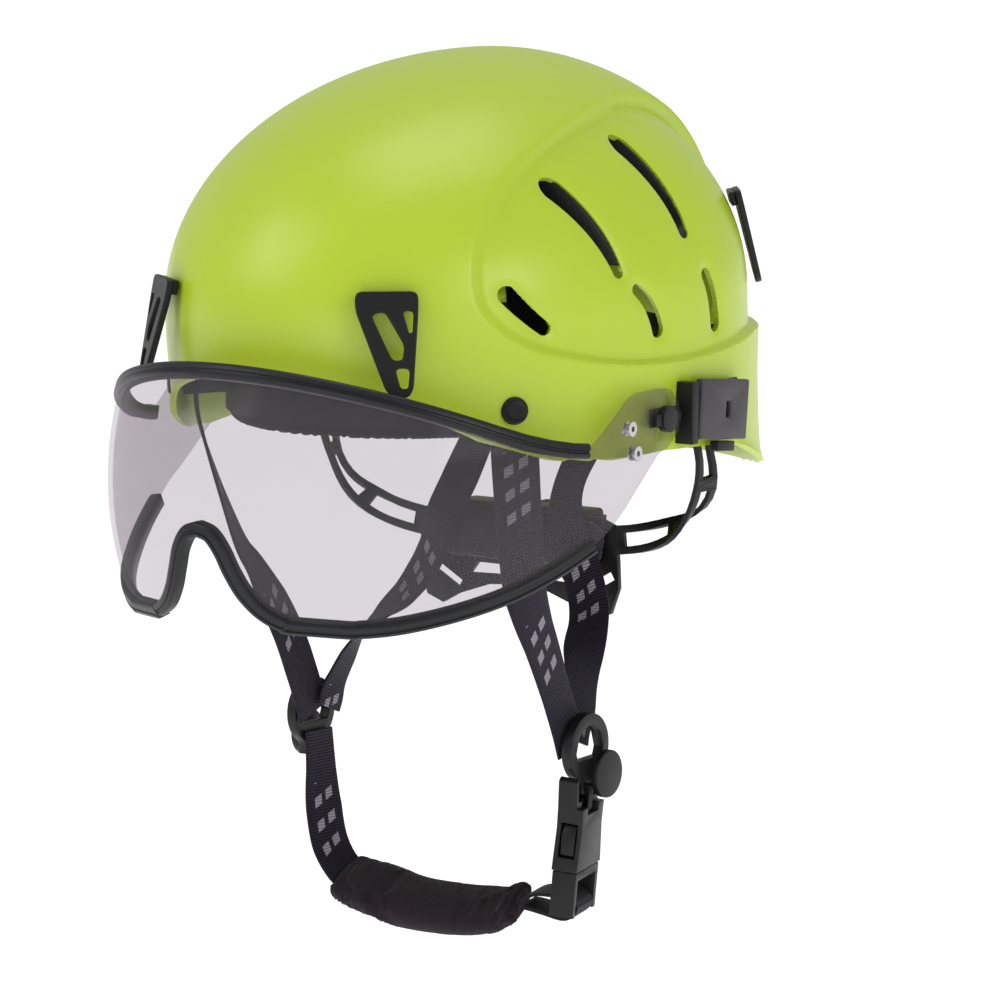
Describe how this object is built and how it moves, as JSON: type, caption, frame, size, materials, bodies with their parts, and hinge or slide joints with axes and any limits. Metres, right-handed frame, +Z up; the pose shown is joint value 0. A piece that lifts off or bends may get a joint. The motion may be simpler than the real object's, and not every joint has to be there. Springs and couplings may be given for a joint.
{
  "type": "arborist helmet",
  "caption": "Vented hard shell helmet with a flip-up half visor, lamp clips, a nape cradle with a size wheel, and a webbing chin harness with a side-release buckle.",
  "frame": {"origin": "middle of the head opening, on the helmet's left-right symmetry plane, level with the headband", "axes": "+Z up through the crown, -Y forward out of the wearer's face, +X to the wearer's left"},
  "size_m": [0.2306, 0.3152, 0.3601],
  "materials": {
    "shell_green": "satin moulded lime green",
    "liner_foam": "fine beaded foam, black",
    "pad_fabric": "brushed textile, black",
    "band_textile": "woven tape, black",
    "webbing": "ribbed polyester webbing, black violet",
    "lens_clear": "clear, faintly smoked polycarbonate",
    "trim_rubber": "extruded, satin",
    "black_plastic": "fine grained, moulded",
    "adapter_grey": "dark grey, moulded"
  },
  "bodies": {
    "helmet": {"adapter_carrier_left": "black_plastic", "adapter_carrier_right": "black_plastic", "adapter_face_left": "adapter_grey", "adapter_face_right": "adapter_grey", "brow_pad": "pad_fabric", "buckle_link": "webbing", "buckle_socket": "black_plastic", "chin_pad": "pad_fabric", "chin_strap": "webbing", "cradle_pins": "black_plastic", "crown_pad": "pad_fabric", "crown_strap_lower": "band_textile", "crown_strap_upper": "band_textile", "divider_left": "black_plastic", "divider_right": "black_plastic", "front_strap_left": "webbing", "front_strap_right": "webbing", "headband": "black_plastic", "impact_liner": "liner_foam", "rear_strap_left": "webbing", "rear_strap_right": "webbing", "shell": "shell_green", "shell_hooks": "black_plastic", "strap_button_left": "black_plastic", "strap_button_right": "black_plastic", "visor_knob_left": "black_plastic", "visor_knob_right": "black_plastic"},
    "visor": {"visor_lens": "lens_clear", "visor_top_trim": "trim_rubber", "visor_bottom_trim": "trim_rubber", "visor_eyelets": "black_plastic"},
    "buckle_tongue": {"buckle_tongue": "black_plastic", "chin_elastic": "webbing"},
    "prong_front": {"buckle_prong_front": "black_plastic"},
    "prong_rear": {"buckle_prong_rear": "black_plastic"},
    "cradle": {"nape_frame": "black_plastic", "nape_pad": "pad_fabric", "adjuster_housing": "black_plastic"},
    "size_wheel": {"adjuster_wheel": "black_plastic", "adjuster_pinion": "black_plastic"},
    "lamp_clip_front_left": {"lamp_clip_front_left": "black_plastic"},
    "lamp_clip_rear_left": {"lamp_clip_rear_left": "black_plastic"},
    "adapter_latch_left": {"adapter_latch_left": "black_plastic"},
    "divider_disc_left": {"divider_disc_left": "black_plastic"},
    "rack_left": {"adjuster_rack_left": "black_plastic"},
    "lamp_clip_front_right": {"lamp_clip_front_right": "black_plastic"},
    "lamp_clip_rear_right": {"lamp_clip_rear_right": "black_plastic"},
    "adapter_latch_right": {"adapter_latch_right": "black_plastic"},
    "divider_disc_right": {"divider_disc_right": "black_plastic"},
    "rack_right": {"adjuster_rack_right": "black_plastic"}
  },
  "joints": [
    {"name": "visor_tilt", "type": "hinge", "parent": "helmet", "child": "visor", "pos_m": [0, -0.0136, -0.002], "axis": [-1, 0, 0], "range_deg": [0, 46]},
    {"name": "cradle_swing", "type": "hinge", "parent": "helmet", "child": "cradle", "pos_m": [0, 0.04, -0.006], "axis": [1, 0, 0], "range_deg": [-25, 25], "deforming": ["rear_strap_left", "rear_strap_right"]},
    {"name": "size_wheel_turn", "type": "hinge", "parent": "cradle", "child": "size_wheel", "pos_m": [0, 0.058, -0.066], "axis": [0, -1, 0], "range_deg": [0, 90]},
    {"name": "rack_left_slide", "type": "slide", "parent": "cradle", "child": "rack_left", "axis": [-1, 0, 0], "range_m": [0, 0.0096]},
    {"name": "rack_right_slide", "type": "slide", "parent": "cradle", "child": "rack_right", "axis": [1, 0, 0], "range_m": [0, 0.0096]},
    {"name": "buckle_release", "type": "slide", "parent": "helmet", "child": "buckle_tongue", "axis": [-0.0856, -0.0166, -0.9962], "range_m": [0, 0.024], "deforming": ["chin_elastic", "buckle_prong_front", "buckle_prong_rear"]},
    {"name": "prong_front_press", "type": "hinge", "parent": "buckle_tongue", "child": "prong_front", "pos_m": [0.06689, -0.01518, -0.18746], "axis": [-0.9779, -0.1901, 0.0872], "range_deg": [0, 9], "stiffness_Nm_per_rad": 0.05},
    {"name": "prong_rear_press", "type": "hinge", "parent": "buckle_tongue", "child": "prong_rear", "pos_m": [0.06396, -0.00006, -0.18746], "axis": [0.9779, 0.1901, -0.0872], "range_deg": [0, 9], "stiffness_Nm_per_rad": 0.05},
    {"name": "divider_disc_left_flip", "type": "hinge", "parent": "helmet", "child": "divider_disc_left", "pos_m": [0.0732, 0.0005, -0.1406], "axis": [0, -1, 0], "range_deg": [0, 60]},
    {"name": "adapter_latch_left_press", "type": "slide", "parent": "helmet", "child": "adapter_latch_left", "axis": [-1, 0, 0], "range_m": [0, 0.0015], "stiffness_N_per_m": 400},
    {"name": "lamp_clip_front_left_flex", "type": "hinge", "parent": "helmet", "child": "lamp_clip_front_left", "pos_m": [0.05101, -0.11703, 0.05245], "axis": [-0.7873, -0.6166, 0], "range_deg": [0, 4], "stiffness_Nm_per_rad": 0.8},
    {"name": "lamp_clip_rear_left_flex", "type": "hinge", "parent": "helmet", "child": "lamp_clip_rear_left", "pos_m": [0.08366, 0.07633, 0.08021], "axis": [0.5632, -0.8263, 0], "range_deg": [0, 4], "stiffness_Nm_per_rad": 0.8},
    {"name": "divider_disc_right_flip", "type": "hinge", "parent": "helmet", "child": "divider_disc_right", "pos_m": [-0.0732, 0.0005, -0.1406], "axis": [0, 1, 0], "range_deg": [0, 60]},
    {"name": "adapter_latch_right_press", "type": "slide", "parent": "helmet", "child": "adapter_latch_right", "axis": [1, 0, 0], "range_m": [0, 0.0015], "stiffness_N_per_m": 400},
    {"name": "lamp_clip_front_right_flex", "type": "hinge", "parent": "helmet", "child": "lamp_clip_front_right", "pos_m": [-0.05101, -0.11703, 0.05245], "axis": [-0.7873, 0.6166, 0], "range_deg": [0, 4], "stiffness_Nm_per_rad": 0.8},
    {"name": "lamp_clip_rear_right_flex", "type": "hinge", "parent": "helmet", "child": "lamp_clip_rear_right", "pos_m": [-0.08366, 0.07633, 0.08021], "axis": [0.5632, 0.8263, 0], "range_deg": [0, 4], "stiffness_Nm_per_rad": 0.8}
  ],
  "couplings": [
    {"joint": "rack_left_slide", "follows": "size_wheel_turn", "m_per_rad": 0.006},
    {"joint": "rack_right_slide", "follows": "size_wheel_turn", "m_per_rad": 0.006}
  ]
}
